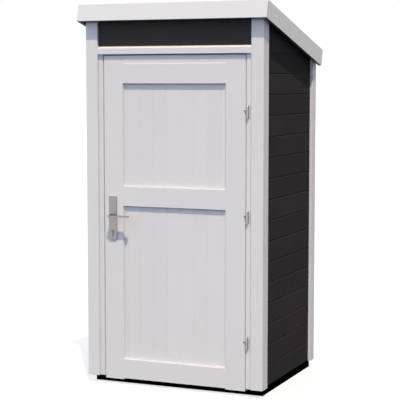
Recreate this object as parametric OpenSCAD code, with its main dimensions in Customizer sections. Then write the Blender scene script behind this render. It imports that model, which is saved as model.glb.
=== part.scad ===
// Narrow tool shed with a mono-pitch roof and one framed door, in millimetres.
// The front faces -Y, the ground is at z = 0, and the roof's box is centred on x = y = 0.

/* [Frame] */
// Width over the outer faces of the corner posts
frame_w = 1060; // [950:10:1400]
// Depth over the outer faces of the corner posts
frame_d = 890; // [700:10:1400]
// Width of a front corner post
front_post_w = 71; // [60:1:110]
// Width of a back corner post
back_post_w = 75; // [60:1:110]
// Depth of a back corner post
back_post_d = 60; // [52:1:110]

/* [Base and floor] */
// Height of the base bearers
base_h = 42; // [30:1:90]
// Width of a base bearer
bearer_w = 60; // [40:1:100]
// Setback of the base from the side faces of the posts
base_side_in = 20; // [15:1:30]
// Setback of the base from the back faces of the posts
base_back_in = 29; // [20:1:40]
// Thickness of the floor
floor_t = 19; // [15:1:28]
// Expansion gap round the floor
floor_gap = 0.5; // [0.2:0.1:0.9]

/* [Walls] */
// Thickness of the boarded walls
wall_t = 19; // [15:1:24]
// Setback of the side walls from the side faces of the posts
side_wall_in = 18; // [12:1:22]
// Setback of the back wall from the back faces of the posts
back_wall_in = 28; // [20:1:30]
// Depth of the wall grooves in the posts
groove_d = 12; // [8:1:16]
// Clearance of a board or panel in its groove
groove_gap = 0.3; // [0.1:0.1:0.6]

/* [Roof] */
// Slope of the roof in degrees, falling to the back
pitch = 14.35; // [8:0.05:20]
// Height of the front fascia's lower edge over the foot of the posts
eave_h = 2002; // [1950:1:2300]
// Reach of the roof in front of the posts
front_overhang = 48; // [40:1:120]
// Reach of the side fascias' lower edges behind the posts
rear_overhang = 4; // [0:1:60]
// Reach of the roof at each side of the posts
side_overhang = 32; // [24:1:80]
// Height of the fascia boards
fascia_h = 96; // [92:1:130]
// Thickness of the fascia boards
fascia_t = 18; // [15:1:22]
// Height of the roof deck's underside over the lower edge of the fascias
deck_rise = 66; // [55:1:69]
// Thickness of the roof deck
deck_t = 19; // [15:1:22]
// Thickness of the roofing felt
felt_t = 3; // [2:0.5:4]
// Setback of the felt's drip edge from the rear ends of the side fascias
felt_in = 5; // [2:1:12]
// Reach of the felt's drip edge below the roof deck
felt_drip = 6; // [3:1:20]
// Depth of a purlin, front to back
purlin_w = 44; // [34:1:60]
// Height of a purlin at its front face
purlin_h = 60; // [40:1:90]

/* [Doorway] */
// Setback of the door and its jambs from the front faces of the posts
door_recess = 15; // [12:1:24]
// Visible width of the jamb at the lock side
lock_jamb_w = 27; // [22:1:40]
// Visible width of the jamb at the hinge side
hinge_jamb_w = 32; // [28:1:44]
// Height of the front fascia's lower edge over the header's underside
header_drop = 184; // [150:1:230]
// Height of the header
header_h = 43; // [30:1:70]
// Height of the weathered bevel on the header's upper edge
header_bevel = 9; // [5:1:15]
// Thickness of the panel over the header
transom_t = 19; // [15:1:24]
// Depth of the door stops, front to back
stop_d = 18; // [12:1:30]
// Reach of the door stops behind the leaf's edges
stop_reach = 14; // [10:1:24]
// Clearance between the closed leaf and its stops
stop_gap = 5; // [5:1:8]
// Bevel on the front edges of the lock jamb and the hinge stile, beside the door's gaps
edge_bevel = 4; // [1:0.5:6]

/* [Door leaf] */
// Thickness of the stiles and rails
leaf_t = 40; // [36:1:50]
// Gap at the lock side
lock_gap = 6.5; // [6.5:0.5:9]
// Gap at the hinge side
hinge_gap = 5; // [5:0.5:8]
// Gap under the header
top_gap = 7; // [5:1:12]
// Reach of the stiles below the foot of the posts
leaf_drop = 13; // [8:1:20]
// Width of the stiles
stile_w = 115; // [100:1:150]
// Height of the top rail
top_rail_h = 153; // [130:1:180]
// Height of the top rail's raised band
band_h = 107; // [80:1:110]
// Thickness of the top rail's raised band
band_t = 1.5; // [1:0.5:4]
// Height of the bevel over the raised band
band_bevel = 5; // [3:1:12]
// Height of the middle rail's lower edge over the foot of the posts
mid_rail_z = 975; // [900:5:1040]
// Height of the middle rail's face
mid_rail_h = 108; // [80:1:150]
// Height of the bottom rail's face
bottom_rail_h = 109; // [80:1:160]
// Lift of the bottom rail over the feet of the stiles
bottom_rail_lift = 6.5; // [3:0.5:12]
// Width of the sloping bead round the panels
bead_w = 5; // [3:1:15]
// Setback of the panels from the face of the leaf
panel_in = 15; // [10:1:18]
// Thickness of the panels
panel_t = 12; // [9:1:16]
// Depth of the panel grooves
panel_groove = 10; // [8:1:14]

/* [Lock] */
// Distance from the leaf's edge to the lever's axis
backset = 53; // [45:1:65]
// Height of the lever's axis over the foot of the posts
lever_z = 920; // [860:5:1000]
// Width of the lock plates
plate_w = 48; // [36:1:60]
// Height of the lock plates
plate_h = 245; // [220:5:270]
// Height of the plates' middle below the lever's axis
plate_drop = 15; // [5:1:25]
// Thickness of the lock plates
plate_t = 7; // [3:0.5:9]
// Radius of the plates' corners
plate_r = 6; // [2:0.5:12]
// Distance from the lever's axis down to the cylinder's axis
cylinder_drop = 92; // [72:1:92]
// Reach of the cylinder past the lock plates
cylinder_out = 3; // [1:0.5:6]
// Width of the cylinder's round part
cylinder_d = 17; // [15:0.5:18]
// Width of the cylinder's leg
cylinder_leg_w = 10; // [8:0.5:11]
// Overall height of the cylinder's profile
cylinder_h = 33; // [30:1:36]
// Clearance of the cylinder in the plates and the stile
cylinder_gap = 0.25; // [0.1:0.05:0.5]
// Width of the keyway in the cylinder's faces
keyway_w = 2.4; // [1.5:0.1:4]
// Height of the keyway in the cylinder's faces
keyway_h = 9; // [6:0.5:11]
// Depth of the keyway in the cylinder's faces
keyway_d = 6; // [3:1:12]
// Width of the lock's face plate and strike plate
face_w = 20; // [16:1:24]
// Thickness of the face plate and strike plate
face_t = 3; // [2:0.5:4]
// Height of the face plate
face_h = 235; // [200:5:270]
// Height of the strike plate
strike_h = 180; // [140:5:220]

/* [Levers] */
// Diameter of the levers' necks
neck_d = 16; // [12:0.5:18]
// Depth of a lever's flat grip, square to the leaf
grip_w = 19; // [14:0.5:24]
// Height of a lever's flat grip
grip_h = 8; // [6:0.5:12]
// Distance from the face of the leaf to the middle of the lever's grip
lever_out = 53; // [45:1:65]
// Reach of the lever's grip from its axis
lever_len = 123; // [90:1:140]
// Running clearance of the lever's neck in the plate's collar
neck_gap = 0.1; // [0.05:0.05:0.3]
// Outside diameter of the plates' collars
collar_d = 25; // [20:0.5:30]
// Height of the plates' collars
collar_h = 5; // [2:0.5:9]
// Width of the square lever spindle
spindle_w = 8; // [6:1:9]
// Diameter of the spindle's hole in the stile
spindle_hole_d = 20; // [16:1:26]

/* [Hinges] */
// Radius of the hinge barrels
barrel_r = 7; // [6:0.5:7]
// Height of one half of a hinge barrel
barrel_h = 30; // [26:1:50]
// Gap between the two halves of a barrel
barrel_gap = 0.3; // [0.2:0.1:0.6]
// Radius of the hinge pins
pin_r = 3.5; // [2.5:0.5:4.5]
// Height of the hinge pins over the lower halves
pin_h = 22; // [16:1:24]
// Running clearance of the pins
pin_gap = 0.08; // [0.04:0.01:0.2]
// Radius of the drilled-in hinge stems
stem_r = 3; // [2:0.5:3]
// Reach of the frame stems from the barrel's axis
frame_stem_len = 26; // [22:1:28]
// Reach of the door stems from the barrel's axis
door_stem_len = 45; // [36:1:60]
// Clearance of the hinge stems in their holes
stem_gap = 0.2; // [0.1:0.05:0.3]
// Distance from the hinge stile's bevel to the point where the door stems enter its face
stem_in = 1; // [0.5:0.5:6]
// Distance from the hinge jamb's face to the barrels' axis
hinge_out = 9; // [6:1:10]
// Clearance between the barrels and the front of the jamb
barrel_clear = 1; // [0.5:0.1:2]
// Height of the lower hinge's middle over the foot of the posts
hinge_low_z = 254; // [180:1:320]
// Height of the middle hinge's middle over the foot of the posts
hinge_mid_z = 940; // [700:1:1100]
// Depth of the upper hinge's middle below the top of the leaf
hinge_top_in = 305; // [200:1:400]

/* [Hidden] */
$fn = 48;

// Margin by which a cut runs past the solid it cuts
over = 1;
// Paint and metal as the shed shows them
white_paint = [0.86, 0.85, 0.86];
dark_paint = [0.05, 0.05, 0.05];
bearer_black = [0.02, 0.02, 0.02];
bare_wood = [0.72, 0.55, 0.36];
felt_grey = [0.12, 0.12, 0.13];
steel = [0.62, 0.61, 0.62];
brass = [0.70, 0.55, 0.30];

// Roof, in its own sloping frame: y runs back down the slope and z square to it
roof_w = frame_w + 2 * side_overhang;
roof_run = front_overhang + frame_d + rear_overhang;
roof_len = roof_run / cos(pitch);
roof_half_in = roof_w / 2 - fascia_t;
roof_y = -(roof_run + fascia_h * sin(pitch)) / 2;
roof_z = base_h + eave_h;
deck_end = roof_len - felt_in - felt_t;
roof_top = roof_z + fascia_h * cos(pitch);

// Depth positions
front_y = roof_y + front_overhang;
back_y = front_y + frame_d;
door_y = front_y + door_recess;
leaf_back_y = door_y + leaf_t;
stop_y = leaf_back_y + stop_gap;
front_post_d = stop_y + stop_d - front_y;
post_back_y = front_y + front_post_d;
back_post_y = back_y - back_post_d;
back_wall_y = back_y - back_wall_in - wall_t;
base_back_y = back_y - base_back_in;

// Width positions, measured from the middle
post_x = frame_w / 2 - front_post_w;
back_post_x = frame_w / 2 - back_post_w;
lock_jamb_x = lock_jamb_w - post_x;
hinge_jamb_x = post_x - hinge_jamb_w;
stop_x0 = lock_jamb_x + stop_reach;
stop_x1 = hinge_jamb_x - stop_reach;
side_wall_x = frame_w / 2 - side_wall_in - wall_t;
base_x = frame_w / 2 - base_side_in;

// Leaf and its frame
header_z = eave_h - header_drop;
leaf_x0 = lock_jamb_x + lock_gap;
leaf_x1 = hinge_jamb_x - hinge_gap;
stile_x0 = leaf_x0 + stile_w;
stile_x1 = leaf_x1 - stile_w;
leaf_z0 = base_h - leaf_drop;
leaf_z1 = base_h + header_z - top_gap;
top_rail_z0 = leaf_z1 - top_rail_h;
mid_rail_z0 = base_h + mid_rail_z;
mid_rail_z1 = mid_rail_z0 + mid_rail_h;
bottom_rail_z0 = leaf_z0 + bottom_rail_lift;
bottom_rail_z1 = bottom_rail_z0 + bottom_rail_h;
panel_y = door_y + panel_in;
tongue = panel_groove - groove_gap;

// Lock and levers
lever_x = leaf_x0 + backset;
lever_axis_z = base_h + lever_z;
plate_z = lever_axis_z - plate_drop;
cylinder_z = lever_axis_z - cylinder_drop;
leaf_mid_y = door_y + leaf_t / 2;

// Hinges
hinge_x = hinge_jamb_x + hinge_out;
hinge_y = door_y - barrel_r - barrel_clear;
hinge_heights = [base_h + hinge_low_z, base_h + hinge_mid_z, leaf_z1 - hinge_top_in];
door_stem_turn = atan2(door_y - hinge_y, leaf_x1 - edge_bevel - stem_in - hinge_x);

// Box between two corners
module block(low, high) {
    translate(low) cube(high - low);
}

// Carries a shape from the roof's sloping frame to its place
module on_roof() {
    translate([0, roof_y, roof_z]) rotate([-pitch, 0, 0]) children();
}

// Cuts a shape off along the underside of the roof deck
module under_deck() {
    difference() {
        children();
        on_roof() block([-roof_w, -roof_len, deck_rise], [roof_w, 2 * roof_len, deck_rise + roof_z]);
    }
}

// Extrudes an outline drawn in y and z along x
module along_x(x0, x1) {
    translate([x0, 0, 0]) rotate([90, 0, 90]) linear_extrude(x1 - x0) children();
}

// Extrudes an outline drawn in x and z along y
module along_y(y0, y1) {
    translate([0, y1, 0]) rotate([90, 0, 0]) linear_extrude(y1 - y0) children();
}

// Mirrors a right-hand piece to the left side
module left_side() {
    mirror([1, 0, 0]) children();
}

// Base bearers
module bearer(x0, x1, y0, y1) {
    color(bearer_black) block([x0, y0, 0], [x1, y1, base_h]);
}

module base_front_bearer() { bearer(-base_x, base_x, stop_y, stop_y + bearer_w); }
module base_back_bearer() { bearer(-base_x, base_x, base_back_y - bearer_w, base_back_y); }
module long_bearer(x0) { bearer(x0, x0 + bearer_w, stop_y + bearer_w, base_back_y - bearer_w); }
module base_left_bearer() { long_bearer(-base_x); }
module base_right_bearer() { long_bearer(base_x - bearer_w); }
module base_middle_bearer() { long_bearer(-bearer_w / 2); }

// Floor boards, notched round the back posts
module floor() {
    floor_x = side_wall_x - floor_gap;
    notch_x = back_post_x - floor_gap;
    notch_y = back_post_y - floor_gap;
    color(bare_wood) difference() {
        block([-floor_x, post_back_y + floor_gap, base_h],
              [floor_x, back_wall_y - floor_gap, base_h + floor_t]);
        for (side = [-1, 1])
            translate([side * (notch_x + back_post_w / 2), notch_y + back_post_d / 2, base_h])
                cube([back_post_w, back_post_d, 3 * floor_t], center = true);
    }
}

// Sill between the door stops, level with the floor
module threshold() {
    color(bare_wood) block([stop_x0, stop_y, base_h], [stop_x1, post_back_y, base_h + floor_t]);
}

// Groove in a post for a wall, as wide as the wall with its clearance
module side_wall_groove(y0) {
    block([side_wall_x - groove_gap, y0, 0], [side_wall_x + wall_t + groove_gap, y0 + groove_d, 2 * roof_z]);
}

module front_right_post() {
    color(white_paint) under_deck() difference() {
        block([post_x, front_y, base_h], [frame_w / 2, post_back_y, roof_top]);
        side_wall_groove(post_back_y - groove_d);
    }
}
module front_left_post() { left_side() front_right_post(); }

module back_right_post() {
    color(white_paint) under_deck() difference() {
        block([back_post_x, back_post_y, base_h], [frame_w / 2, back_y, roof_top]);
        side_wall_groove(back_post_y);
        block([back_post_x - over, back_wall_y - groove_gap, 0],
              [back_post_x + groove_d, back_wall_y + wall_t + groove_gap, 2 * roof_z]);
    }
}
module back_left_post() { left_side() back_right_post(); }

// Boarded walls, let into the posts
module right_wall() {
    color(dark_paint) under_deck()
        block([side_wall_x, post_back_y - groove_d + groove_gap, base_h],
              [side_wall_x + wall_t, back_post_y + groove_d - groove_gap, roof_top]);
}
module left_wall() { left_side() right_wall(); }

module back_wall() {
    half_w = back_post_x + groove_d - groove_gap;
    color(dark_paint) under_deck()
        block([-half_w, back_wall_y, base_h], [half_w, back_wall_y + wall_t, roof_top]);
}

module transom_panel() {
    color(dark_paint) under_deck()
        block([-post_x, door_y, base_h + header_z + header_h], [post_x, door_y + transom_t, roof_top]);
}

// Rebated door jamb at the right side, without its holes
module jamb(face_x) {
    translate([0, 0, base_h]) linear_extrude(header_z) polygon([
        [post_x, door_y], [face_x, door_y], [face_x, stop_y],
        [face_x - stop_reach, stop_y], [face_x - stop_reach, post_back_y], [post_x, post_back_y]
    ]);
}

// Cut that bevels an upright edge at the front of the doorway
module bevel_cut(x) {
    translate([x, door_y, 0]) linear_extrude(roof_z) rotate(45) square(sqrt(2) * edge_bevel, center = true);
}

module left_jamb() {
    color(white_paint) difference() {
        left_side() jamb(-lock_jamb_x);
        strike_space(over);
        bevel_cut(lock_jamb_x);
    }
}

module right_jamb() {
    color(white_paint) difference() {
        jamb(hinge_jamb_x);
        for (z = hinge_heights) frame_stem(z, stem_r + stem_gap);
    }
}

// Header that sheds water forward, with the upper door stop under its back
module header() {
    z0 = base_h + header_z;
    z1 = z0 + header_h;
    color(white_paint) union() {
        along_x(-post_x, post_x) polygon([
            [front_y, z0], [post_back_y, z0], [post_back_y, z1], [door_y, z1], [front_y, z1 - header_bevel]
        ]);
        block([stop_x0, stop_y, z0 - stop_reach], [stop_x1, post_back_y, z0 + over]);
    }
}

// Height of the roof deck's underside at a depth
function deck_under(y) = roof_z + deck_rise / cos(pitch) - (y - roof_y) * tan(pitch);

module purlin(half_w, y0) {
    color(bare_wood) under_deck()
        block([-half_w, y0, deck_under(y0) - purlin_h], [half_w, y0 + purlin_w, roof_top]);
}
module front_purlin() { purlin(post_x, door_y + transom_t); }
module back_purlin() { purlin(back_post_x, back_wall_y - purlin_w); }

// Roof deck between the fascias
module roof_deck() {
    color(dark_paint) on_roof()
        block([-roof_half_in, fascia_t, deck_rise], [roof_half_in, deck_end, deck_rise + deck_t]);
}

// Felt over the deck, folded down over its rear edge
module roof_felt() {
    felt_z = deck_rise + deck_t;
    felt_end = deck_end + felt_t;
    color(felt_grey) on_roof() along_x(-roof_half_in, roof_half_in) polygon([
        [fascia_t, felt_z], [deck_end, felt_z], [deck_end, deck_rise - felt_drip],
        [felt_end, deck_rise - felt_drip], [felt_end, felt_z + felt_t], [fascia_t, felt_z + felt_t]
    ]);
}

// Fascias, square to the slope; the front one covers the ends of the side ones
module front_fascia() {
    color(white_paint) on_roof() block([-roof_w / 2, 0, 0], [roof_w / 2, fascia_t, fascia_h]);
}
module right_fascia() {
    color(white_paint) on_roof() block([roof_half_in, fascia_t, 0], [roof_w / 2, roof_len, fascia_h]);
}
module left_fascia() { left_side() right_fascia(); }

// Stile with the panel groove down its inner edge
module stile(x0, groove_x) {
    difference() {
        block([x0, door_y, leaf_z0], [x0 + stile_w, leaf_back_y, leaf_z1]);
        block([groove_x - panel_groove, panel_y - groove_gap, leaf_z0 - over],
              [groove_x + panel_groove, panel_y + panel_t + groove_gap, leaf_z1 + over]);
    }
}

module door_lock_stile() {
    color(white_paint) difference() {
        stile(leaf_x0, stile_x0);
        translate([lever_x, leaf_back_y + over, lever_axis_z]) rotate([90, 0, 0])
            cylinder(d = spindle_hole_d, h = leaf_t + 2 * over);
        along_y(door_y - over, leaf_back_y + over) cylinder_outline(cylinder_gap);
        face_plate_space(over);
    }
}

module door_hinge_stile() {
    color(white_paint) difference() {
        stile(stile_x1, stile_x1);
        for (z = hinge_heights) door_stem(z, stem_r + stem_gap);
        bevel_cut(leaf_x1);
    }
}

// Rail from its outline in y and z, with a tongue at each end and the panel grooves cut out
module rail(z0, z1, grooves) {
    color(white_paint) difference() {
        union() {
            along_x(stile_x0, stile_x1) children();
            block([stile_x0 - tongue, panel_y, z0], [stile_x1 + tongue, panel_y + panel_t, z1]);
        }
        for (z = grooves)
            block([stile_x0 - stile_w, panel_y - groove_gap, z - panel_groove],
                  [stile_x1 + stile_w, panel_y + panel_t + groove_gap, z + panel_groove]);
    }
}

module plain_rail(z0, z1, grooves) {
    rail(z0, z1, grooves) translate([door_y, z0]) square([leaf_t, z1 - z0]);
}

// Top rail, flush with the stiles over its raised band
module door_top_rail() {
    band_top = top_rail_z0 + band_h;
    rail(top_rail_z0, leaf_z1, [top_rail_z0]) polygon([
        [door_y - band_t, top_rail_z0], [leaf_back_y, top_rail_z0], [leaf_back_y, leaf_z1],
        [door_y, leaf_z1], [door_y, band_top + band_bevel], [door_y - band_t, band_top]
    ]);
}
module door_mid_rail() { plain_rail(mid_rail_z0, mid_rail_z1, [mid_rail_z0, mid_rail_z1]); }
module door_bottom_rail() { plain_rail(bottom_rail_z0, bottom_rail_z1, [bottom_rail_z1]); }

// Panel held in the grooves of the rails and stiles, with a sloping bead round its face
module panel(z0, z1) {
    color(white_paint) union() {
        block([stile_x0 - tongue, panel_y, z0 - tongue], [stile_x1 + tongue, panel_y + panel_t, z1 + tongue]);
        along_x(stile_x0, stile_x1) {
            bead(z0, bead_w);
            bead(z1, -bead_w);
        }
        translate([0, 0, z0]) linear_extrude(z1 - z0) mirror([1, -1, 0]) {
            bead(stile_x0, bead_w);
            bead(stile_x1, -bead_w);
        }
    }
}

// Section of a bead from the edge of the frame to the panel, with the depth first
module bead(edge, reach) {
    polygon([[door_y, edge], [panel_y + over, edge], [panel_y + over, edge + reach], [panel_y, edge + reach]]);
}
module door_upper_panel() { panel(mid_rail_z1, top_rail_z0); }
module door_lower_panel() { panel(bottom_rail_z1, mid_rail_z0); }

// Outline of the profile cylinder in x and z, grown by a clearance
module cylinder_outline(gap) {
    leg_z = cylinder_z + cylinder_d / 2 - cylinder_h + cylinder_leg_w / 2;
    translate([lever_x, cylinder_z]) circle(d = cylinder_d + 2 * gap);
    translate([lever_x, leg_z]) circle(d = cylinder_leg_w + 2 * gap);
    translate([lever_x - cylinder_leg_w / 2 - gap, leg_z]) square([cylinder_leg_w + 2 * gap, cylinder_z - leg_z]);
}

// Outline of a lock plate in x and z, with round corners
module plate_outline() {
    translate([lever_x, plate_z]) {
        square([plate_w - 2 * plate_r, plate_h], center = true);
        square([plate_w, plate_h - 2 * plate_r], center = true);
        for (sx = [-1, 1], sz = [-1, 1])
            translate([sx * (plate_w / 2 - plate_r), sz * (plate_h / 2 - plate_r)]) circle(plate_r);
    }
}

// Lock plate on the leaf's front face, with a collar that guides the lever's neck
module lock_plate() {
    color(steel) difference() {
        union() {
            along_y(door_y - plate_t, door_y) plate_outline();
            translate([lever_x, door_y - plate_t + over, lever_axis_z]) rotate([90, 0, 0])
                cylinder(d = collar_d, h = collar_h + over);
        }
        along_y(door_y - plate_t - over, door_y + over) cylinder_outline(cylinder_gap);
        translate([lever_x, door_y + over, lever_axis_z]) rotate([90, 0, 0])
            cylinder(d = neck_d + 2 * neck_gap, h = plate_t + collar_h + 3 * over);
    }
}

// Turns a piece on the leaf's front face round to its back face
module back_face() {
    translate([0, 2 * leaf_mid_y, 0]) mirror([0, 1, 0]) children();
}

module outer_lock_plate() { lock_plate(); }
module inner_lock_plate() { back_face() lock_plate(); }

module lock_cylinder() {
    y0 = door_y - plate_t - cylinder_out;
    y1 = leaf_back_y + plate_t + cylinder_out;
    color(brass) difference() {
        along_y(y0, y1) cylinder_outline(0);
        for (y = [y0, y1])
            translate([lever_x, y, cylinder_z]) cube([keyway_w, 2 * keyway_d, keyway_h], center = true);
    }
}

// Space of the lock's face plate in the leaf's edge, run out of it by a margin
module face_plate_space(out) {
    block([leaf_x0 - out, leaf_mid_y - face_w / 2, plate_z - face_h / 2],
          [leaf_x0 + face_t, leaf_mid_y + face_w / 2, plate_z + face_h / 2]);
}
module lock_face_plate() { color(steel) face_plate_space(0); }

// Space of the strike plate in the jamb's face, run out of it by a margin
module strike_space(out) {
    block([lock_jamb_x - face_t, leaf_mid_y - face_w / 2, plate_z - strike_h / 2],
          [lock_jamb_x + out, leaf_mid_y + face_w / 2, plate_z + strike_h / 2]);
}
module strike_plate() { color(steel) strike_space(0); }

// Lever handle in front of the leaf: round neck, knuckle and flat round-ended grip
module lever() {
    end_x = lever_len - grip_w / 2;
    color(steel) translate([lever_x, 0, lever_axis_z]) union() {
        translate([0, door_y, 0]) rotate([90, 0, 0]) cylinder(d = neck_d, h = lever_out);
        translate([0, door_y - lever_out, 0]) sphere(d = neck_d);
        translate([0, door_y - lever_out, -grip_h / 2]) linear_extrude(grip_h) {
            circle(d = grip_w);
            translate([0, -grip_w / 2]) square([end_x, grip_w]);
            translate([end_x, 0]) circle(d = grip_w);
        }
    }
}
module outer_lever() { lever(); }
module inner_lever() { back_face() lever(); }

// Square spindle between the necks of the two levers
module lever_spindle() {
    color(steel) block([lever_x - spindle_w / 2, door_y, lever_axis_z - spindle_w / 2],
                       [lever_x + spindle_w / 2, leaf_back_y, lever_axis_z + spindle_w / 2]);
}

// Hinge stems from the barrel's axis: straight back into the jamb, and slantwise into the leaf
module stem(turn, z, r, len) {
    translate([hinge_x, hinge_y, z]) rotate([0, 0, turn]) rotate([0, 90, 0]) cylinder(r = r, h = len);
}
module frame_stem(z, r) { stem(90, z - barrel_h / 2, r, frame_stem_len); }
module door_stem(z, r) { stem(door_stem_turn, z + barrel_gap + 2 * stem_r, r, door_stem_len); }

// Lower hinge halves, each with a round foot and the pin
module hinge_frame_halves() {
    color(steel) for (z = hinge_heights) union() {
        translate([hinge_x, hinge_y, z - barrel_h]) {
            cylinder(r = barrel_r, h = barrel_h);
            sphere(r = barrel_r);
            cylinder(r = pin_r, h = barrel_h + pin_h);
        }
        frame_stem(z, stem_r);
    }
}

// Upper hinge halves, each with a round cap and a blind hole for the pin
module hinge_door_halves() {
    color(steel) for (z = hinge_heights) difference() {
        union() {
            translate([hinge_x, hinge_y, z + barrel_gap]) {
                cylinder(r = barrel_r, h = barrel_h);
                translate([0, 0, barrel_h]) sphere(r = barrel_r);
            }
            door_stem(z, stem_r);
        }
        translate([hinge_x, hinge_y, z]) cylinder(r = pin_r + pin_gap, h = pin_h + 2 * barrel_gap);
    }
}

base_front_bearer();
base_back_bearer();
base_left_bearer();
base_right_bearer();
base_middle_bearer();
floor();
threshold();
front_left_post();
front_right_post();
back_left_post();
back_right_post();
left_wall();
right_wall();
back_wall();
transom_panel();
left_jamb();
right_jamb();
header();
front_purlin();
back_purlin();
roof_deck();
roof_felt();
front_fascia();
left_fascia();
right_fascia();
door_lock_stile();
door_hinge_stile();
door_top_rail();
door_mid_rail();
door_bottom_rail();
door_upper_panel();
door_lower_panel();
outer_lock_plate();
inner_lock_plate();
lock_cylinder();
lock_face_plate();
strike_plate();
outer_lever();
inner_lever();
lever_spindle();
hinge_frame_halves();
hinge_door_halves();
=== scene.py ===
import math
import random

import bmesh
import bpy
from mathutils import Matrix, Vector


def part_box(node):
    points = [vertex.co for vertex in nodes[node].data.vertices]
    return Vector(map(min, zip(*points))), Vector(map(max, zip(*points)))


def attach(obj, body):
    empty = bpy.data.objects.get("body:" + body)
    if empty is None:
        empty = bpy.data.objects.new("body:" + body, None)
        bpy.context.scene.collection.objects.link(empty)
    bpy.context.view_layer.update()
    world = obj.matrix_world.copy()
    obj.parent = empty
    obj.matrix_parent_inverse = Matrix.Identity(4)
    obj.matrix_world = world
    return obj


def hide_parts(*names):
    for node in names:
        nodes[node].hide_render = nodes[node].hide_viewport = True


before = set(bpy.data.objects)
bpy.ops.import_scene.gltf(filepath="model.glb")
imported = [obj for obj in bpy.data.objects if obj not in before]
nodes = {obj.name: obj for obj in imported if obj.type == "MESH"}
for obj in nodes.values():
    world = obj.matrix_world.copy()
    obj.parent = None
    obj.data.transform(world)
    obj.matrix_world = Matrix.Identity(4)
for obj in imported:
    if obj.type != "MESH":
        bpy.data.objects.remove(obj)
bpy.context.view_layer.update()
bpy.context.scene.view_settings.view_transform = "Standard"

# Slope and sections that the frame's boxes don't give, in metres
PITCH = math.radians(14.35)
FASCIA_T, DECK_RISE, DECK_T, FELT_T = 0.018, 0.066, 0.019, 0.003
BOARD, BOARD_T = 0.114, 0.019  # height and thickness of a wall board
VEE_H, VEE_D = 0.005, 0.0028  # height of one side and depth of the V between wall boards
BEAD, PANEL_IN, PANEL_T = 0.005, 0.015, 0.012  # bead's width, panel's setback and thickness

ROOF_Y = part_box("front_fascia")[0].y
ROOF_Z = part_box("front_fascia")[0].z + FASCIA_T * math.sin(PITCH)
WALL_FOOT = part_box("right_wall")[0].z
FELT_RISE = DECK_RISE + DECK_T


def on_roof(x, run, rise):
    """Point of the roof's sloping frame: run goes back down the slope, rise stands square to it."""
    c, s = math.cos(PITCH), math.sin(PITCH)
    return Vector((x, ROOF_Y + run * c + rise * s, ROOF_Z - run * s + rise * c))


# Material building blocks

def blank(name, gloss=0.5):
    m = bpy.data.materials.new(name)
    m.use_nodes = True
    tree = m.node_tree
    tree.nodes.clear()
    out = tree.nodes.new("ShaderNodeOutputMaterial")
    shader = tree.nodes.new("ShaderNodeBsdfPrincipled")
    shader.inputs["Specular IOR Level"].default_value = gloss
    tree.links.new(shader.outputs[0], out.inputs[0])
    return m, tree, shader


def node(tree, kind, values=None, **props):
    n = tree.nodes.new(kind)
    for k, v in props.items():
        setattr(n, k, v)
    for k, v in (values or {}).items():
        n.inputs[k].default_value = v
    return n


def place(tree, scale, offset=None):
    """Object coordinates stretched by scale, moved by a per-board offset where one is given."""
    coord = node(tree, "ShaderNodeTexCoord")
    mapping = node(tree, "ShaderNodeMapping", {"Scale": scale})
    tree.links.new(coord.outputs["Object"], mapping.inputs["Vector"])
    if offset is None:
        return mapping.outputs[0]
    add = node(tree, "ShaderNodeVectorMath", operation="ADD")
    tree.links.new(mapping.outputs[0], add.inputs[0])
    tree.links.new(offset, add.inputs[1])
    return add.outputs[0]


def noise(tree, vector, scale=1.0, detail=4.0, rough=0.55, distortion=0.0):
    n = node(tree, "ShaderNodeTexNoise",
             {"Scale": scale, "Detail": detail, "Roughness": rough, "Distortion": distortion})
    tree.links.new(vector, n.inputs["Vector"])
    return n.outputs[0]


def spread(tree, value, low, high, start=0.3, end=0.7):
    n = node(tree, "ShaderNodeMapRange",
             {"From Min": start, "From Max": end, "To Min": low, "To Max": high})
    tree.links.new(value, n.inputs["Value"])
    return n.outputs[0]


def blend(tree, fac, a, b):
    n = node(tree, "ShaderNodeMix", data_type="RGBA")
    for socket, v in ((n.inputs["Factor"], fac), (n.inputs[6], a), (n.inputs[7], b)):
        if isinstance(v, tuple):
            socket.default_value = (*v, 1.0)
        else:
            tree.links.new(v, socket)
    return n.outputs[2]


def maths(tree, op, a, b):
    n = node(tree, "ShaderNodeMath", operation=op)
    for socket, v in zip(n.inputs, (a, b)):
        if isinstance(v, (int, float)):
            socket.default_value = v
        else:
            tree.links.new(v, socket)
    return n.outputs[0]


def bump(tree, shader, height, strength, distance):
    n = node(tree, "ShaderNodeBump", {"Strength": strength, "Distance": distance})
    tree.links.new(height, n.inputs["Height"])
    tree.links.new(n.outputs[0], shader.inputs["Normal"])


def tone_of(tree):
    """Number of a board from 0 to 1, written on the faces of the boarded pieces."""
    return node(tree, "ShaderNodeAttribute", attribute_name="tone").outputs["Fac"]


def board_offset(tree):
    """Moves the grain of each board to a place of its own."""
    shift = node(tree, "ShaderNodeCombineXYZ")
    far = maths(tree, "MULTIPLY", tone_of(tree), GRAIN_STEP)
    for socket in shift.inputs:
        tree.links.new(far, socket)
    return shift.outputs[0]


# Materials

# Scales of the patterns, and depths of the relief that they give
GRAIN = {"x": (1.6, 70, 70), "y": (70, 1.6, 70), "z": (70, 70, 1.6)}
BRUSHED = {"x": (12, 900, 900), "z": (900, 900, 12)}
GRAIN_STEP, BLOTCH, PATCH, MARKS = 37.0, (3.5, 3.5, 3.5), (9, 9, 9), (60, 60, 60)
RINGS, KNOT_PLACE, KNOTS = 9.0, (3, 3, 3), 2.3
GRANULES, SPECKS, WEATHER = (420, 420, 420), 330.0, (4, 1.5, 4)
UNSCALED, LEVEL = (1, 1, 1), (1, 1, 0)
PAINT_RELIEF, WOOD_RELIEF, FELT_RELIEF, METAL_RELIEF = 0.0012, 0.0008, 0.0012, 0.0003

# Ranges in which a face comes to look up, down, inward or along a direction
UP, DOWN, INWARD, ALONG = (0.93, 0.945), (-0.8, -0.5), (-0.4, -0.3), (0.7, 0.9)

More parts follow.
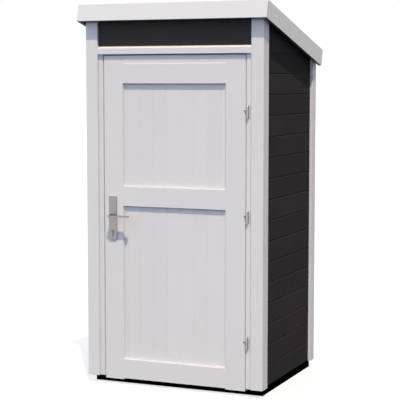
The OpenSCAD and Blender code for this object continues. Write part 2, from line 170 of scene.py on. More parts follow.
# Width of a picked area's soft edge, and half the dark start of a hinge's stem
SOFT_EDGE, STEM_HALF = 0.001, 0.003


def finer(axis, factor):
    return tuple(factor * g for g in GRAIN[axis])


def facing(tree):
    """Direction that a surface faces, in the piece's own frame."""
    return node(tree, "ShaderNodeTexCoord").outputs["Normal"]


def ledges(tree, colour, above, below):
    """Darkens faces that look up, as dust and as a dimmed sunlit highlight, and gives faces that look down
    a darker colour, which is painted shade.
    """
    split = node(tree, "ShaderNodeSeparateXYZ")
    tree.links.new(facing(tree), split.inputs[0])
    colour = blend(tree, spread(tree, split.outputs["Z"], 0.0, 1.0, *UP), colour, above)
    return blend(tree, spread(tree, split.outputs["Z"], 1.0, 0.0, *DOWN), colour, below)


def inner_side(tree):
    """1 on faces that look at the middle of the shed, 0 on those that look out."""
    dot = node(tree, "ShaderNodeVectorMath", operation="DOT_PRODUCT")
    tree.links.new(facing(tree), dot.inputs[0])
    tree.links.new(place(tree, LEVEL), dot.inputs[1])
    return spread(tree, dot.outputs["Value"], 1.0, 0.0, *INWARD)


def looking(tree, direction):
    """1 on faces that look along a direction, 0 on those that look well away from it."""
    dot = node(tree, "ShaderNodeVectorMath", {1: direction}, operation="DOT_PRODUCT")
    tree.links.new(facing(tree), dot.inputs[0])
    return spread(tree, dot.outputs["Value"], 0.0, 1.0, *ALONG)


def painted(name, light, dark, axis, rough, gloss, bumps,
            tones=0.0, wear=None, above=None, below=None, inside=None, light_tint=None):
    """Brushed paint on timber: grain under the film, brush marks, soft blotches and a tone per board.

    wear rubs patches through it. above colours the faces that look up, darker as dust and as a dimmed
    sunlit highlight; below colours the faces that look down, as painted shade; inside colours the side
    towards the room, on the fascias as painted shade; and the last argument gives faces that look along a
    direction a cooler or lighter white, which is painted light."""
    m, tree, shader = blank(name, gloss)
    offset = board_offset(tree) if tones else None
    grain = noise(tree, place(tree, GRAIN[axis], offset), detail=6, rough=0.62, distortion=0.4)
    brush = noise(tree, place(tree, finer(axis, 4), offset), detail=3)
    blotch = noise(tree, place(tree, BLOTCH, offset), detail=3)
    colour = blend(tree, spread(tree, blotch, 0.0, 1.0), light, dark)
    colour = blend(tree, spread(tree, grain, 0.0, 0.35, 0.42, 0.75), colour, dark)
    if tones:
        shade = node(tree, "ShaderNodeHueSaturation")
        tree.links.new(spread(tree, tone_of(tree), 1 - tones, 1 + tones, 0.0, 1.0), shade.inputs["Value"])
        tree.links.new(colour, shade.inputs["Color"])
        colour = shade.outputs[0]
    if wear:
        patches = noise(tree, place(tree, PATCH), detail=5)
        colour = blend(tree, spread(tree, patches, 0.0, 1.0, 0.45, 0.75), colour, wear)
    if above:
        colour = ledges(tree, colour, above, below)
    if inside:
        colour = blend(tree, inner_side(tree), colour, inside)
    # A cooler or lighter white on faces that look along a direction: painted light, not a paint of its own.
    if light_tint:
        direction, lit_white = light_tint
        colour = blend(tree, looking(tree, direction), colour, lit_white)
    tree.links.new(colour, shader.inputs["Base Color"])
    tree.links.new(spread(tree, brush, rough - 0.06, rough + 0.08), shader.inputs["Roughness"])
    bump(tree, shader, maths(tree, "ADD", grain, maths(tree, "MULTIPLY", brush, 0.35)), bumps, PAINT_RELIEF)
    return m


def timber(name, light, dark, axis):
    """Planed softwood: long growth-ring figure, fine pores and a few darker knots."""
    m, tree, shader = blank(name, 0.3)
    offset = board_offset(tree)
    rings = noise(tree, place(tree, finer(axis, 1 / 3), offset), scale=0.9, detail=2, distortion=1.2)
    bands = maths(tree, "FRACT", maths(tree, "MULTIPLY", rings, RINGS), 0.0)
    pores = noise(tree, place(tree, finer(axis, 5), offset), detail=4)
    knots = node(tree, "ShaderNodeTexVoronoi", {"Scale": KNOTS})
    tree.links.new(place(tree, KNOT_PLACE, offset), knots.inputs["Vector"])
    colour = blend(tree, spread(tree, bands, 0.0, 0.75, 0.1, 1.0), light, dark)
    colour = blend(tree, spread(tree, pores, 0.0, 0.3, 0.5, 0.8), colour, dark)
    knot = spread(tree, knots.outputs["Distance"], 0.85, 0.0, 0.03, 0.09)
    colour = blend(tree, knot, colour, tuple(0.45 * c for c in dark))
    tree.links.new(colour, shader.inputs["Base Color"])
    tree.links.new(spread(tree, pores, 0.52, 0.68), shader.inputs["Roughness"])
    bump(tree, shader, maths(tree, "ADD", bands, pores), 0.12, WOOD_RELIEF)
    return m


def mineral_felt():
    """Bitumen felt faced with stone granules: dark grit, pale specks and soft weathering."""
    m, tree, shader = blank("mineral_felt", 0.2)
    grit = noise(tree, place(tree, GRANULES), detail=2)
    speck = node(tree, "ShaderNodeTexVoronoi", {"Scale": SPECKS})
    tree.links.new(place(tree, UNSCALED), speck.inputs["Vector"])
    weather = noise(tree, place(tree, WEATHER), detail=5)
    colour = blend(tree, spread(tree, grit, 0.0, 1.0), BITUMEN, GRIT)
    colour = blend(tree, spread(tree, speck.outputs["Distance"], 0.55, 0.0, 0.1, 0.3), colour, CHIP)
    colour = blend(tree, spread(tree, weather, 0.0, 0.5), colour, BLEACHED)
    tree.links.new(colour, shader.inputs["Base Color"])
    tree.links.new(spread(tree, grit, 0.82, 0.95), shader.inputs["Roughness"])
    bump(tree, shader, maths(tree, "ADD", grit, speck.outputs["Distance"]), 0.5, FELT_RELIEF)
    return m


def near(point, radius):
    """Picks what lies within a radius of a point."""
    def pick(tree):
        away = node(tree, "ShaderNodeVectorMath", {1: point}, operation="DISTANCE")
        tree.links.new(place(tree, UNSCALED), away.inputs[0])
        return spread(tree, away.outputs["Value"], 1.0, 0.0, radius - SOFT_EDGE, radius + SOFT_EDGE)
    return pick


def barrel_shade(left):
    """Picks the start of a hinge's stem, to the left of an x, and the sides of its barrel, whose dark is a
    painted reflection and shade.
    """
    def pick(tree):
        at, side = (node(tree, "ShaderNodeSeparateXYZ") for _ in range(2))
        tree.links.new(place(tree, UNSCALED), at.inputs[0])
        tree.links.new(facing(tree), side.inputs[0])
        beside = maths(tree, "ABSOLUTE", maths(tree, "SUBTRACT", at.outputs["X"], left - STEM_HALF), 0.0)
        stem = spread(tree, beside, 1.0, 0.0, STEM_HALF, STEM_HALF + SOFT_EDGE)
        turned = maths(tree, "ABSOLUTE", side.outputs["X"], 0.0)
        return maths(tree, "MAXIMUM", stem, spread(tree, turned, 0.0, 0.75, 0.5, 0.9))
    return pick


def metal(name, light, dark, axis, rough, darker_where=None):
    """Satin metal, brushed along one axis, with handling marks; darker where a pick is given."""
    m, tree, shader = blank(name)
    shader.inputs["Metallic"].default_value = 1.0
    lines = noise(tree, place(tree, BRUSHED[axis]), detail=3)
    marks = noise(tree, place(tree, MARKS), detail=5)
    colour = blend(tree, spread(tree, lines, 0.0, 0.6), light, dark)
    colour = blend(tree, spread(tree, marks, 0.0, 0.25, 0.5, 0.8), colour, dark)
    if darker_where:
        colour = blend(tree, darker_where(tree), colour, tuple(0.1 * c for c in dark))
    tree.links.new(colour, shader.inputs["Base Color"])
    tree.links.new(spread(tree, marks, rough - 0.06, rough + 0.1), shader.inputs["Roughness"])
    bump(tree, shader, lines, 0.06, METAL_RELIEF)
    return m


# Colours; LOW names the darker one that a pattern blends to
WHITE, WHITE_LOW, RUBBED = (0.804, 0.78, 0.762), (0.789, 0.765, 0.747), (0.64, 0.62, 0.60)
# The darker white for faces that look up is partly dust and partly a dimmed sunlit highlight; the grey for
# faces that look down is painted shade under rails and ledges.
DUST_AND_DIMMED_HIGHLIGHT, UNDERSIDE_SHADE = (0.58, 0.568, 0.56), (0.40, 0.392, 0.392)
# Whites that are painted light: a cooler white on faces that look right (the left post's reveal, the
# panels' beads) and on the header's arris, a cooler white on the left jamb's front, and a lighter, cooler
# white on the back posts' faces that look forward.
COOL_LIT_WHITE, JAMB_LIT_WHITE, LIT_RETURN_WHITE = (0.755, 0.765, 0.81), (0.775, 0.775, 0.80), (0.93, 0.94, 0.99)
# The fascias' whites are painted light: darker on the front fascia, which the sun lights most, and lighter
# on the side fascias, than the white elsewhere.
FASCIA = {"x": (0.718, 0.709, 0.70), "y": (0.82, 0.81, 0.785)}
FASCIA_LOW = {"x": (0.703, 0.694, 0.685), "y": (0.805, 0.795, 0.77)}
DARK, DARK_LOW = (0.047, 0.044, 0.042), (0.040, 0.038, 0.036)
# The transom panel's dark paint is lighter and warmer than the walls': painted light on the panel in the
# roof's shade.
SHADED, SHADED_LOW = (0.066, 0.056, 0.051), (0.062, 0.052, 0.047)
# Near-zero black of the base bearers: their black paint, made darker than paint can be as painted shade.
BLACK_AND_SHADE, BLACK_AND_SHADE_LOW = (0.0024, 0.0024, 0.0024), (0.0012, 0.0012, 0.0012)
WOOD, WOOD_LOW = (0.60, 0.42, 0.24), (0.42, 0.26, 0.13)
STEEL, STEEL_LOW = (0.37, 0.353, 0.362), (0.305, 0.288, 0.297)
ZINC, ZINC_LOW = (0.50, 0.49, 0.48), (0.40, 0.39, 0.38)
BRASS, BRASS_LOW = (0.34, 0.265, 0.22), (0.24, 0.18, 0.145)
NAIL_PAINT, NAIL_PAINT_LOW = (0.05, 0.047, 0.048), (0.035, 0.033, 0.034)
BITUMEN, GRIT = (0.035, 0.036, 0.04), (0.075, 0.075, 0.08)
CHIP, BLEACHED = (0.13, 0.13, 0.135), (0.085, 0.083, 0.078)

# Roughness, gloss and bump of the paints, the dark boards' index of refraction, roughness of the metals
SATIN, RUBBED_SATIN = (0.46, 0.12, 0.18), (0.5, 0.12, 0.18)
BOARD_FILM, PANEL_FILM, BEARER_FILM = (0.55, 0.5, 0.35), (0.55, 0.0, 0.25), (0.7, 0.0, 0.5)
BOARD_IOR = 1.02
PLATE_ROUGH, LEVER_ROUGH, ZINC_ROUGH, NAIL_ROUGH = 0.36, 0.30, 0.30, 0.5

# Thickness of a lever's grip and reach of its dark inner corner
GRIP, CORNER = 0.019, 0.017
lever_x, _, lever_z = sum(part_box("lever_spindle"), Vector()) / 2


def corner(side):
    """Inner corner of a lever, between its neck and its grip."""
    lo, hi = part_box(side + "_lever")
    back = GRIP / 2 + 0.6 * CORNER
    return lever_x + 0.75 * CORNER, lo.y + back if side == "outer" else hi.y - back, lever_z


TO_RIGHT, TO_FRONT = (1, 0, 0), (0, -1, 0)
# Whites darker on faces that look up (dust and a dimmed highlight) and with painted shade on faces that
# look down.
white = {a: painted("white_paint_" + a, WHITE, WHITE_LOW, a, *SATIN, above=DUST_AND_DIMMED_HIGHLIGHT, below=UNDERSIDE_SHADE)
         for a in "xz"}
# Whites with painted light: cooler on the left post's reveal, cooler on the left jamb's front, lighter and
# cooler on the back posts' fronts.
light_tinted_white = {n: painted("white_" + n, WHITE, WHITE_LOW, "z", *SATIN,
                              above=DUST_AND_DIMMED_HIGHLIGHT, below=UNDERSIDE_SHADE, light_tint=(direction, lit_white))
                   for n, direction, lit_white in (("reveal", TO_RIGHT, COOL_LIT_WHITE), ("jamb", TO_FRONT, JAMB_LIT_WHITE),
                                               ("return", TO_FRONT, LIT_RETURN_WHITE))}
# Cooler white for the header's arris, so that its sunlit highlight shows white: painted light.
white_edge = painted("white_edge", COOL_LIT_WHITE, COOL_LIT_WHITE, "x", *SATIN)
white_rubbed = {a: painted("white_rubbed_" + a, WHITE, WHITE_LOW, a, *RUBBED_SATIN, wear=RUBBED)
                for a in "xz"}
# Fascias: their undersides and the faces towards the room are dark, a painted shade under the roof's edge.
fascia_white = {a: painted("white_fascia_" + a, FASCIA[a], FASCIA_LOW[a], a, *SATIN,
                           above=DUST_AND_DIMMED_HIGHLIGHT, below=DARK_LOW, inside=DARK_LOW) for a in "xy"}
# The panels' faces that look right take the cooler white, a painted light.
panel_white = painted("white_panel", WHITE, WHITE_LOW, "z", *SATIN, tones=0.01,
                      above=DUST_AND_DIMMED_HIGHLIGHT, below=UNDERSIDE_SHADE, light_tint=(TO_RIGHT, COOL_LIT_WHITE))
dark_boards = {a: painted("dark_boards_" + a, DARK, DARK_LOW, a, *BOARD_FILM, tones=0.07) for a in "xy"}
for m in dark_boards.values():
    m.node_tree.nodes["Principled BSDF"].inputs["IOR"].default_value = BOARD_IOR
# Transom: the lighter dark paint, a painted light.
dark_panel = painted("dark_panel", SHADED, SHADED_LOW, "x", *PANEL_FILM)
# Base bearers: black paint with painted shade.
bearer_black_and_shade = {a: painted("bearer_black_and_shade_" + a, BLACK_AND_SHADE, BLACK_AND_SHADE_LOW, a, *BEARER_FILM) for a in "xy"}
bare = {a: timber("softwood_" + a, WOOD, WOOD_LOW, a) for a in "xy"}
felt = mineral_felt()
steel = metal("satin_steel", STEEL, STEEL_LOW, "z", PLATE_ROUGH)
lever_steel = {side: metal(side + "_lever_steel", STEEL, STEEL_LOW, "x", LEVER_ROUGH,
                           near(corner(side), CORNER))
               for side in ("outer", "inner")}
zinc = metal("zinc_steel", ZINC, ZINC_LOW, "z", ZINC_ROUGH)
# Hinge barrels are darker on their sides, a painted dark reflection and shade, and at the start of the
# stem.
hinge_steel = metal("hinge_steel", ZINC, ZINC_LOW, "z", ZINC_ROUGH,
                    barrel_shade(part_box("hinge_frame_halves")[0].x))
brass = metal("dull_brass", BRASS, BRASS_LOW, "x", PLATE_ROUGH)
nail_dark = metal("painted_nail", NAIL_PAINT, NAIL_PAINT_LOW, "x", NAIL_ROUGH)


# CAD nodes that keep their shape: a material and softened arrises, of these widths

WELD_GAP, ARRIS_ANGLE = 0.00002, math.radians(35)
PAINTED_ARRIS, HEADER_ARRIS, FASCIA_ARRIS, THIN_ARRIS, SAWN_ARRIS = 0.0012, 0.0018, 0.0015, 0.001, 0.002
LEVER_ARRIS, HINGE_ARRIS, CYLINDER_ARRIS = 0.0015, 0.0005, 0.0006


def dress(names, material, arris, segments=2, arris_wear_and_highlight=None):
    for name in names:
        o = nodes[name]
        o.data.materials.clear()
        o.data.materials.append(material)
        weld = o.modifiers.new("weld", "WELD")
        weld.merge_threshold = WELD_GAP
        b = o.modifiers.new("arris", "BEVEL")
        b.width, b.segments, b.limit_method = arris, segments, "ANGLE"
        b.angle_limit = ARRIS_ANGLE
        b.use_clamp_overlap = True
        # The second material goes on the arrises: rubbed wear on most pieces, a painted highlight colour on
        # the header.
        if arris_wear_and_highlight:
            o.data.materials.append(arris_wear_and_highlight)
            b.material = 1


dress(("front_right_post", "right_jamb", "door_lock_stile", "door_hinge_stile"),
      white["z"], PAINTED_ARRIS, arris_wear_and_highlight=white_rubbed["z"])
dress(("front_left_post",), light_tinted_white["reveal"], PAINTED_ARRIS, arris_wear_and_highlight=white_rubbed["z"])
dress(("left_jamb",), light_tinted_white["jamb"], PAINTED_ARRIS, arris_wear_and_highlight=white_rubbed["z"])
dress(("back_left_post", "back_right_post"),
      light_tinted_white["return"], PAINTED_ARRIS, arris_wear_and_highlight=white_rubbed["z"])
dress(("door_top_rail", "door_mid_rail", "door_bottom_rail"),
      white["x"], PAINTED_ARRIS, arris_wear_and_highlight=white_rubbed["x"])
# The header's arris takes the cooler white, a painted highlight.
dress(("header",), white["x"], HEADER_ARRIS, arris_wear_and_highlight=white_edge)
dress(("front_fascia",), fascia_white["x"], FASCIA_ARRIS)
dress(("left_fascia", "right_fascia"), fascia_white["y"], FASCIA_ARRIS)
dress(("transom_panel",), dark_panel, THIN_ARRIS)
dress(("base_front_bearer", "base_back_bearer"), bearer_black_and_shade["x"], SAWN_ARRIS)
dress(("base_left_bearer", "base_right_bearer", "base_middle_bearer"), bearer_black_and_shade["y"], SAWN_ARRIS)
dress(("front_purlin", "back_purlin", "threshold"), bare["x"], SAWN_ARRIS)
dress(("outer_lock_plate", "inner_lock_plate", "lock_face_plate", "strike_plate", "lever_spindle"),
      steel, THIN_ARRIS)
for side in lever_steel:
    dress((side + "_lever",), lever_steel[side], LEVER_ARRIS, 3)
dress(("hinge_frame_halves", "hinge_door_halves"), hinge_steel, HINGE_ARRIS)
dress(("lock_cylinder",), brass, CYLINDER_ARRIS)


# Boarded pieces

def new_bm():
    bm = bmesh.new()
    return bm, bm.faces.layers.float.new("tone")


def finish_piece(bm, name, body, materials, replaced=(), smooth=False):
    bmesh.ops.recalc_face_normals(bm, faces=bm.faces)
    mesh = bpy.data.meshes.new(name)
    bm.to_mesh(mesh)
    bm.free()
    for m in materials:
        mesh.materials.append(m)
    for p in mesh.polygons:
        p.use_smooth = smooth
    o = bpy.data.objects.new(name, mesh)
    bpy.context.scene.collection.objects.link(o)
    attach(o, body)
    if replaced:
        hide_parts(*replaced)
    return o


def prism(bm, layer, tone, outline, a, b, point, inner=None):
    """Solid from an outline, run from a to b.

    point maps (u, v, t) to a place, and inner picks the faces that take the second material."""
    ends = [[bm.verts.new(point(u, v, t)) for u, v in outline] for t in (a, b)]
    faces = [bm.faces.new(ends[0]), bm.faces.new(ends[1][::-1])]
    for i in range(len(outline)):
        j = (i + 1) % len(outline)
        faces.append(bm.faces.new((ends[0][i], ends[1][i], ends[1][j], ends[0][j])))
        if inner and inner(outline[i], outline[j]):
            faces[-1].material_index = 1
    for f in faces:
        f[layer] = tone


def cut_at_deck(bm):
    """Trims the boards along the underside of the roof deck and closes them."""
    normal = Vector((0, math.sin(PITCH), math.cos(PITCH)))
    bmesh.ops.bisect_plane(bm, geom=bm.verts[:] + bm.edges[:] + bm.faces[:], dist=1e-6,
                           plane_co=on_roof(0, 0, DECK_RISE), plane_no=normal, clear_outer=True)
    bmesh.ops.holes_fill(bm, edges=[e for e in bm.edges if e.is_boundary], sides=0)


def boarded_wall(node_name, a, b, point, axis):
    """Horizontal boards that meet in a shallow V outside and are bare inside."""
    name = node_name + "_boards"
    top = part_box(node_name)[1].z
    seed = random.Random(name)
    bm, layer = new_bm()
    z = WALL_FOOT
    while z < top:
        z0, z = z, z + BOARD
        section = [(0, z0 + VEE_H), (VEE_D, z0), (BOARD_T, z0),
                   (BOARD_T, z), (VEE_D, z), (0, z - VEE_H)]
        prism(bm, layer, seed.random(), section, a, b, point, lambda p, q: min(p[0], q[0]) == BOARD_T)
    cut_at_deck(bm)
    finish_piece(bm, name, "shed", [dark_boards[axis], bare[axis]], [node_name])


wall_lo, wall_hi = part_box("right_wall")
back_lo, back_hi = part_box("back_wall")
boarded_wall("right_wall", wall_lo.y, wall_hi.y, lambda d, z, t: Vector((wall_hi.x - d, t, z)), "y")
boarded_wall("left_wall", wall_lo.y, wall_hi.y, lambda d, z, t: Vector((d - wall_hi.x, t, z)), "y")
boarded_wall("back_wall", back_lo.x, back_hi.x, lambda d, z, t: Vector((t, back_hi.y - d, z)), "x")

# Floor boards, the last one between the back posts
floor_lo, floor_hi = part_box("floor")
post_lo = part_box("back_right_post")[0]
FLOOR_BOARDS, FLOOR_GAP, FLOOR_ARRIS, NOTCH_GAP = 8, 0.0004, 0.0018, 0.0005


def floor_boards():
    seed = random.Random("floor")
    bm, layer = new_bm()
    notch_y, notch_x = post_lo.y - NOTCH_GAP, post_lo.x - NOTCH_GAP
    pitch = (notch_y - floor_lo.y) / FLOOR_BOARDS
    rows = [(floor_lo.y + k * pitch, floor_lo.y + (k + 1) * pitch, floor_hi.x)
            for k in range(FLOOR_BOARDS)]
    for y0, y1, half in rows + [(notch_y, floor_hi.y, notch_x)]:
        y0, y1, z0, z1 = y0 + FLOOR_GAP, y1 - FLOOR_GAP, floor_lo.z, floor_hi.z
        section = [(y0, z0), (y1, z0), (y1, z1 - FLOOR_ARRIS), (y1 - FLOOR_ARRIS, z1),
                   (y0 + FLOOR_ARRIS, z1), (y0, z1 - FLOOR_ARRIS)]
        prism(bm, layer, seed.random(), section, -half, half, lambda u, v, t: Vector((t, u, v)))
    finish_piece(bm, "floor_boards", "shed", [bare["x"]], ["floor"])


# Roof deck: boards across the slope, V-jointed on the underside
DECK_BOARDS, DECK_GAP, DECK_VEE = 9, 0.0003, 0.003
deck_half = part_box("roof_deck")[1].x
deck_end = (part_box("roof_deck")[1].y - ROOF_Y - FELT_RISE * math.sin(PITCH)) / math.cos(PITCH)


def roof_deck_boards():
    seed = random.Random("deck")
    bm, layer = new_bm()
    pitch = (deck_end - FASCIA_T) / DECK_BOARDS
    for k in range(DECK_BOARDS):
        u0 = FASCIA_T + k * pitch + DECK_GAP
        u1 = FASCIA_T + (k + 1) * pitch - DECK_GAP
        section = [(u0, DECK_RISE + DECK_VEE), (u0 + DECK_VEE, DECK_RISE), (u1 - DECK_VEE, DECK_RISE),
                   (u1, DECK_RISE + DECK_VEE), (u1, FELT_RISE), (u0, FELT_RISE)]
        prism(bm, layer, seed.random(), section, -deck_half, deck_half, lambda u, v, t: on_roof(t, u, v))
    finish_piece(bm, "roof_deck_boards", "shed", [dark_boards["x"]], ["roof_deck"])


floor_boards()
roof_deck_boards()


# Roofing felt: three lapped strips, slightly uneven, the lowest folded over the rear edge

STRIPS, LAP, LAP_RAMP, LAP_STEP, FELT_DROP = 3, 0.06, 0.02, 0.0026, 0.006
FELT_COLS, FELT_ROWS, FLAT_COLS = 28, 12, 3
WAVE, WAVE_X, WAVE_U, TURN_X, TURN_U = 0.0006, 9, 14, 5, 2  # unevenness, and its turn from strip to strip


def roof_felt():
    end = deck_end + FELT_T
    length = (end - FASCIA_T) / STRIPS
    bm, layer = new_bm()
    for k in range(STRIPS):
        lowest = k == STRIPS - 1
        u0 = FASCIA_T + k * length
        u1 = end if lowest else u0 + length + LAP
        lines = []
        for i in range(FELT_ROWS + 1):
            u = u0 + (u1 - u0) * i / FELT_ROWS
            on_lap = 0.0 if lowest else min(1.0, max(0.0, (u - u1 + LAP) / LAP_RAMP))
            lines.append((u, FELT_RISE + FELT_T + LAP_STEP * on_lap))
        if lowest:
            lines.append((end, DECK_RISE - FELT_DROP))
        grid = []
        for u, rise in lines:
            row = []
            for j in range(FELT_COLS + 1):
                x = deck_half * (2 * j / FELT_COLS - 1)
                inside = min(j, FELT_COLS - j, FLAT_COLS) / FLAT_COLS
                wave = (WAVE * math.sin(WAVE_X * x + TURN_X * k)
                        * math.sin(WAVE_U * u + TURN_U * k) * inside)
                row.append(bm.verts.new(on_roof(x, u, rise + wave)))
            grid.append(row)
        for low, high in zip(grid, grid[1:]):
            for j in range(FELT_COLS):
                bm.faces.new((low[j], low[j + 1], high[j + 1], high[j]))[layer] = k / (STRIPS - 1)
    o = finish_piece(bm, "roof_felt_strips", "shed", [felt], ["roof_felt"])
    thick = o.modifiers.new("thickness", "SOLIDIFY")
    thick.thickness, thick.offset = LAP_STEP, -1.0


roof_felt()


# Door panels: fine-jointed upright boards behind a sloping bead

stile_x0, stile_x1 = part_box("door_lock_stile")[1].x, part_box("door_hinge_stile")[0].x
door_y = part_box("door_mid_rail")[0].y
panel_y = door_y + PANEL_IN
FIRST_JOINT, JOINT_PITCH, JOINT_VEE, BEAD_SINK, BEAD_TONE = 0.278, 0.0812, 0.0018, 0.0005, 0.5


def door_panel(part, z0, z1):
    lo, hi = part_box("door_%s_panel" % part)
    count = int((FIRST_JOINT - lo.x) / JOINT_PITCH)
    joints = [FIRST_JOINT - JOINT_PITCH * k for k in range(count, -1, -1)]
    edges = [lo.x] + joints + [hi.x]
    seed = random.Random(part)
    bm, layer = new_bm()
    for u0, u1 in zip(edges, edges[1:]):
        section = [(u0, panel_y + JOINT_VEE), (u0 + JOINT_VEE, panel_y), (u1 - JOINT_VEE, panel_y),
                   (u1, panel_y + JOINT_VEE), (u1, panel_y + PANEL_T), (u0, panel_y + PANEL_T)]
        prism(bm, layer, seed.random(), section, lo.z, hi.z, lambda u, v, t: Vector((u, v, t)))
    outer = [(stile_x0, z0), (stile_x1, z0), (stile_x1, z1), (stile_x0, z1)]
    inner = [(x + BEAD * sx, z + BEAD * sz) for (x, z), (sx, sz) in
             zip(outer, ((1, 1), (-1, 1), (-1, -1), (1, -1)))]
    rings = [[bm.verts.new((x, y, z)) for x, z in ring] for ring, y in
             ((outer, panel_y + BEAD_SINK), (outer, door_y + BEAD_SINK), (inner, panel_y + BEAD_SINK))]
    for a, b in zip(rings, rings[1:] + rings[:1]):
        for i in range(4):
            j = (i + 1) % 4
            bm.faces.new((a[i], a[j], b[j], b[i]))[layer] = BEAD_TONE
    finish_piece(bm, "door_%s_boards" % part, "door", [panel_white],
                 ["door_%s_panel" % part])


rail = {n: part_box("door_%s_rail" % n) for n in ("top", "mid", "bottom")}
door_panel("upper", rail["mid"][1].z, rail["top"][0].z)
door_panel("lower", rail["bottom"][1].z, rail["mid"][0].z)


# Nails and screws: radius and height of their heads, and how far in from the edges they sit

HEAD_SIDES, HEAD_SINK = 14, 0.0004
NAIL, PLATE_SCREW = (0.0028, 0.0009), (0.0042, 0.0016)
SMALL_SCREW, CLOUT = (0.004, 0.0008), (0.005, 0.0012)
SIDE_NAIL_IN, BACK_NAIL_IN, PLATE_SCREW_IN, SMALL_SCREW_IN = 0.016, 0.018, 0.013, 0.012
COLLAR = 0.005  # height of the collar round the lever's neck on a lock plate
CLOUT_IN, CLOUT_FIRST, CLOUT_PITCH, CLOUT_ROWS = 0.016, 0.06, 0.14, 7
REAR_CLOUT_IN, REAR_CLOUT_PITCH, REAR_CLOUTS = 0.02, 0.12, 4  # REAR_CLOUTS to each side of the middle


def heads(name, body, slot, material, places, r, h, normal, recess=False):
    """Domed nail or screw heads, with a drive recess where asked."""
    bm, layer = new_bm()
    n = Vector(normal).normalized()
    u = n.orthogonal().normalized()
    v = n.cross(u)
    turns = [2 * math.pi * i / HEAD_SIDES for i in range(HEAD_SIDES)]
    profile = [(r, -HEAD_SINK), (r, 0.35 * h), (0.82 * r, 0.8 * h), (0.42 * r, h)]
    if recess:
        profile.append((0.3 * r, 0.15 * h))
    for p in places:
        rings = [[bm.verts.new(Vector(p) + n * rise + (u * math.cos(t) + v * math.sin(t)) * radius)
                  for t in turns] for radius, rise in profile]
        for a, b in zip(rings, rings[1:]):
            for i in range(len(turns)):
                j = (i + 1) % len(turns)
                bm.faces.new((a[i], a[j], b[j], b[i]))
        bm.faces.new(rings[-1])
    finish_piece(bm, name, body, [material], smooth=True)


def board_rows(y):
    """Heights of the boards' middles that stay clear of the roof deck at a depth."""
    top = on_roof(0, (y - ROOF_Y) / math.cos(PITCH), 0).z
    return [WALL_FOOT + (k + 0.5) * BOARD for k in range(int((top - WALL_FOOT) / BOARD))]


nail_y = (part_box("front_right_post")[1].y + SIDE_NAIL_IN, post_lo.y - SIDE_NAIL_IN)
nail_x = post_lo.x - BACK_NAIL_IN
for side, s in (("right", 1), ("left", -1)):
    spots = [(s * wall_hi.x, y, z) for y in nail_y for z in board_rows(y)]
    heads(side + "_wall_nails", "shed", "dark_paint", nail_dark, spots, *NAIL, (s, 0, 0))
spots = [(s * nail_x, back_hi.y, z) for s in (-1, 1) for z in board_rows(back_hi.y)]
heads("back_wall_nails", "shed", "dark_paint", nail_dark, spots, *NAIL, (0, 1, 0))

for side, face, s in (("outer", 0, -1), ("inner", 1, 1)):
    lo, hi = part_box(side + "_lock_plate")
    y = (lo, hi)[face].y - s * COLLAR
    spots = [(lever_x, y, z) for z in (lo.z + PLATE_SCREW_IN, hi.z - PLATE_SCREW_IN)]
    heads(side + "_plate_screws", "door", "steel", steel, spots, *PLATE_SCREW, (0, s, 0), True)
for part, body, face, s in (("strike_plate", "shed", 1, 1), ("lock_face_plate", "door", 0, -1)):
    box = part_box(part)
    y = (box[0].y + box[1].y) / 2
    spots = [(box[face].x, y, z) for z in (box[0].z + SMALL_SCREW_IN, box[1].z - SMALL_SCREW_IN)]
    heads(part + "_screws", body, "steel", steel, spots, *SMALL_SCREW, (s, 0, 0), True)

felt_top = FELT_RISE + FELT_T
spots = [on_roof(s * (deck_half - CLOUT_IN), CLOUT_FIRST + CLOUT_PITCH * k, felt_top)
         for s in (-1, 1) for k in range(CLOUT_ROWS)]
spots += [on_roof(REAR_CLOUT_PITCH * k, deck_end - REAR_CLOUT_IN, felt_top)
          for k in range(-REAR_CLOUTS, REAR_CLOUTS + 1)]
heads("felt_clout_nails", "shed", "steel", zinc, spots, *CLOUT, (0, math.sin(PITCH), math.cos(PITCH)))


# Floor, light and camera

FLOOR_HALF, FLOOR_DROP = 40.0, 0.0006
BOUNCE, PALE, GLOW = (0.082, 0.095, 0.13, 1), (0.25, 0.25, 0.25, 1), 0.72
SKY_LEFT, SKY_RIGHT = (1.19, 1.36, 1.76), (0.315, 0.315, 0.37)
SUN_ENERGY, SUN_SIZE, SUN_COLOUR = 2.93, math.radians(0.9), (1.0, 0.86, 0.615)
SUN_RAY = (-0.285, 0.46, -1.0)
CAMERA_AT, CAMERA_LENS, SENSOR, CLIP_END = (2.8844, -6.8158, 1.7090), 115.215, 36.0, 200
CAMERA_TURN = (math.radians(90 - 5.279), 0, math.radians(23.095))


def seen_by_eye(tree):
    """1 for what the camera, mirrors and glass see, 0 for light that falls on the shed."""
    path = tree.nodes.new("ShaderNodeLightPath")
    mirrored = maths(tree, "MAXIMUM", path.outputs["Is Glossy Ray"], path.outputs["Is Transmission Ray"])
    return maths(tree, "MAXIMUM", path.outputs["Is Camera Ray"], mirrored)


def two_sided(tree, for_light, for_eye, out):
    """One shader for the light that falls on the shed, and one for what the camera and reflections see."""
    mix = tree.nodes.new("ShaderNodeMixShader")
    tree.links.new(seen_by_eye(tree), mix.inputs[0])
    tree.links.new(for_light.outputs[0], mix.inputs[1])
    tree.links.new(for_eye.outputs[0], mix.inputs[2])
    tree.links.new(mix.outputs[0], out.inputs[0])


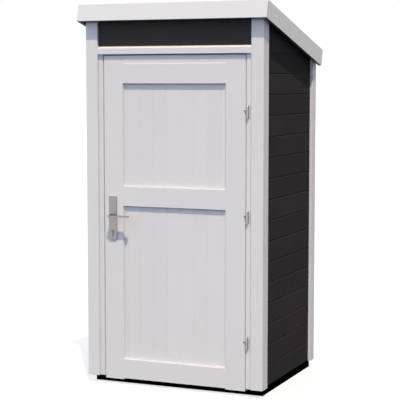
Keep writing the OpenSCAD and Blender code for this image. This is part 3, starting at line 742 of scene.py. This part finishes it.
def studio_floor():
    mesh = bpy.data.meshes.new("studio_floor")
    s, z = FLOOR_HALF, -FLOOR_DROP
    mesh.from_pydata([(-s, -s, z), (s, -s, z), (s, s, z), (-s, s, z)], [], [(0, 1, 2, 3)])
    o = bpy.data.objects.new("studio_floor", mesh)
    bpy.context.scene.collection.objects.link(o)
    m = bpy.data.materials.new("studio_floor")
    m.use_nodes = True
    tree = m.node_tree
    tree.nodes.clear()
    out = tree.nodes.new("ShaderNodeOutputMaterial")
    bounce = node(tree, "ShaderNodeBsdfDiffuse", {"Color": BOUNCE})
    pale = node(tree, "ShaderNodeBsdfDiffuse", {"Color": PALE})
    glow = node(tree, "ShaderNodeEmission", {"Color": (1, 1, 1, 1), "Strength": GLOW})
    seen = tree.nodes.new("ShaderNodeAddShader")
    tree.links.new(pale.outputs[0], seen.inputs[0])
    tree.links.new(glow.outputs[0], seen.inputs[1])
    two_sided(tree, bounce, seen, out)
    mesh.materials.append(m)


def studio_sky():
    """Soft fill, brighter and cooler from the left, behind a white background."""
    world = bpy.data.worlds.new("studio")
    bpy.context.scene.world = world
    world.use_nodes = True
    tree = world.node_tree
    tree.nodes.clear()
    out = tree.nodes.new("ShaderNodeOutputWorld")
    split = node(tree, "ShaderNodeSeparateXYZ")
    tree.links.new(node(tree, "ShaderNodeTexCoord").outputs["Generated"], split.inputs[0])
    fill = node(tree, "ShaderNodeBackground", {"Strength": 1.0})
    colour = blend(tree, spread(tree, split.outputs["X"], 0.0, 1.0, -1.0, 1.0), SKY_LEFT, SKY_RIGHT)
    tree.links.new(colour, fill.inputs["Color"])
    plain = node(tree, "ShaderNodeBackground", {"Color": (1, 1, 1, 1), "Strength": 1.0})
    two_sided(tree, fill, plain, out)


studio_floor()
studio_sky()

sun = bpy.data.lights.new("key", "SUN")
sun.energy, sun.angle, sun.color = SUN_ENERGY, SUN_SIZE, SUN_COLOUR
key = bpy.data.objects.new("key", sun)
key.rotation_mode = "QUATERNION"
key.rotation_quaternion = Vector(SUN_RAY).to_track_quat("-Z", "Y")
bpy.context.scene.collection.objects.link(key)

cam = bpy.data.objects.new("camera", bpy.data.cameras.new("camera"))
cam.location = CAMERA_AT
cam.rotation_euler = CAMERA_TURN
cam.data.lens, cam.data.sensor_width = CAMERA_LENS, SENSOR
cam.data.clip_end = CLIP_END
bpy.context.scene.collection.objects.link(cam)
bpy.context.scene.camera = cam
